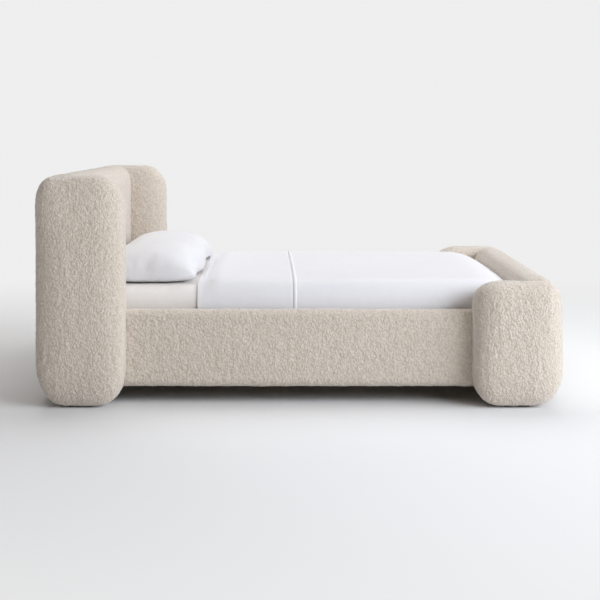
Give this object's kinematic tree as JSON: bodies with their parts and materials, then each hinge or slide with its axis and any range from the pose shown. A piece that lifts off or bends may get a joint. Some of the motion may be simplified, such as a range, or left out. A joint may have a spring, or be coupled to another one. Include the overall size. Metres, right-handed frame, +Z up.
{
  "type": "upholstered headboard bed",
  "caption": "Low platform bed with a padded headboard and footboard, each wrapped round by two rounded wings, padded side rails, slats, a mattress, bedding and pillows.",
  "frame": {"origin": "on the floor, at the centre of the bed's footprint", "axes": "+X from the head to the foot, +Y to the sleeper's left, +Z up"},
  "size_m": [2.49, 2.004, 1.094],
  "materials": {
    "boucle": "curly woven boucle",
    "plywood": "raw",
    "timber": "planed",
    "slat": "planed",
    "black_steel": "powder coated",
    "black_plastic": "moulded",
    "cambric": "nonwoven",
    "ticking": "knitted",
    "fitted_sheet": "woven cotton",
    "bed_linen": "woven cotton",
    "pillowcase": "woven cotton"
  },
  "bodies": {
    "bed_frame": {"headboard_left_wing_cover": "boucle", "headboard_right_wing_cover": "boucle", "footboard_left_wing_cover": "boucle", "footboard_right_wing_cover": "boucle", "headboard_panel_cover": "boucle", "footboard_panel_cover": "boucle", "left_rail_cover": "boucle", "right_rail_cover": "boucle", "headboard_left_wing_frame": "plywood", "headboard_right_wing_frame": "plywood", "footboard_left_wing_frame": "plywood", "footboard_right_wing_frame": "plywood", "left_rail_frame": "plywood", "right_rail_frame": "plywood", "headboard_panel_frame": "timber", "footboard_panel_frame": "timber", "left_ledger": "timber", "right_ledger": "timber", "centre_beam": "timber", "slat_01": "slat", "slat_02": "slat", "slat_03": "slat", "slat_04": "slat", "slat_05": "slat", "slat_06": "slat", "slat_07": "slat", "slat_08": "slat", "slat_09": "slat", "slat_10": "slat", "slat_11": "slat", "slat_12": "slat", "head_left_hook_plate": "black_steel", "head_left_slot_plate": "black_steel", "head_right_hook_plate": "black_steel", "head_right_slot_plate": "black_steel", "foot_left_hook_plate": "black_steel", "foot_left_slot_plate": "black_steel", "foot_right_hook_plate": "black_steel", "foot_right_slot_plate": "black_steel", "headboard_beam_hanger": "black_steel", "footboard_beam_hanger": "black_steel", "centre_leg_1": "black_steel", "centre_leg_2": "black_steel", "centre_leg_3": "black_steel", "headboard_left_glide": "black_plastic", "headboard_right_glide": "black_plastic", "footboard_left_glide": "black_plastic", "footboard_right_glide": "black_plastic", "headboard_dust_cover": "cambric", "footboard_dust_cover": "cambric"},
    "mattress_and_bedding": {"mattress": "ticking", "fitted_sheet": "fitted_sheet", "duvet": "bed_linen", "top_sheet_cuff": "bed_linen"},
    "left_pillow": {"left_pillow": "pillowcase"},
    "right_pillow": {"right_pillow": "pillowcase"},
    "leveling_foot_1": {"leveling_foot_1": "black_plastic"},
    "leveling_foot_2": {"leveling_foot_2": "black_plastic"},
    "leveling_foot_3": {"leveling_foot_3": "black_plastic"}
  },
  "joints": [
    {"name": "mattress_lift", "type": "slide", "parent": "bed_frame", "child": "mattress_and_bedding", "axis": [0, 0, 1], "range_m": [0, 0.8]},
    {"name": "left_pillow_lift", "type": "slide", "parent": "mattress_and_bedding", "child": "left_pillow", "axis": [0, 0, 1], "range_m": [0, 0.55]},
    {"name": "right_pillow_lift", "type": "slide", "parent": "mattress_and_bedding", "child": "right_pillow", "axis": [0, 0, 1], "range_m": [0, 0.55]},
    {"name": "leveling_screw_1", "type": "slide", "parent": "bed_frame", "child": "leveling_foot_1", "axis": [0, 0, -1], "range_m": [0, 0.012]},
    {"name": "leveling_screw_2", "type": "slide", "parent": "bed_frame", "child": "leveling_foot_2", "axis": [0, 0, -1], "range_m": [0, 0.012]},
    {"name": "leveling_screw_3", "type": "slide", "parent": "bed_frame", "child": "leveling_foot_3", "axis": [0, 0, -1], "range_m": [0, 0.012]}
  ]
}
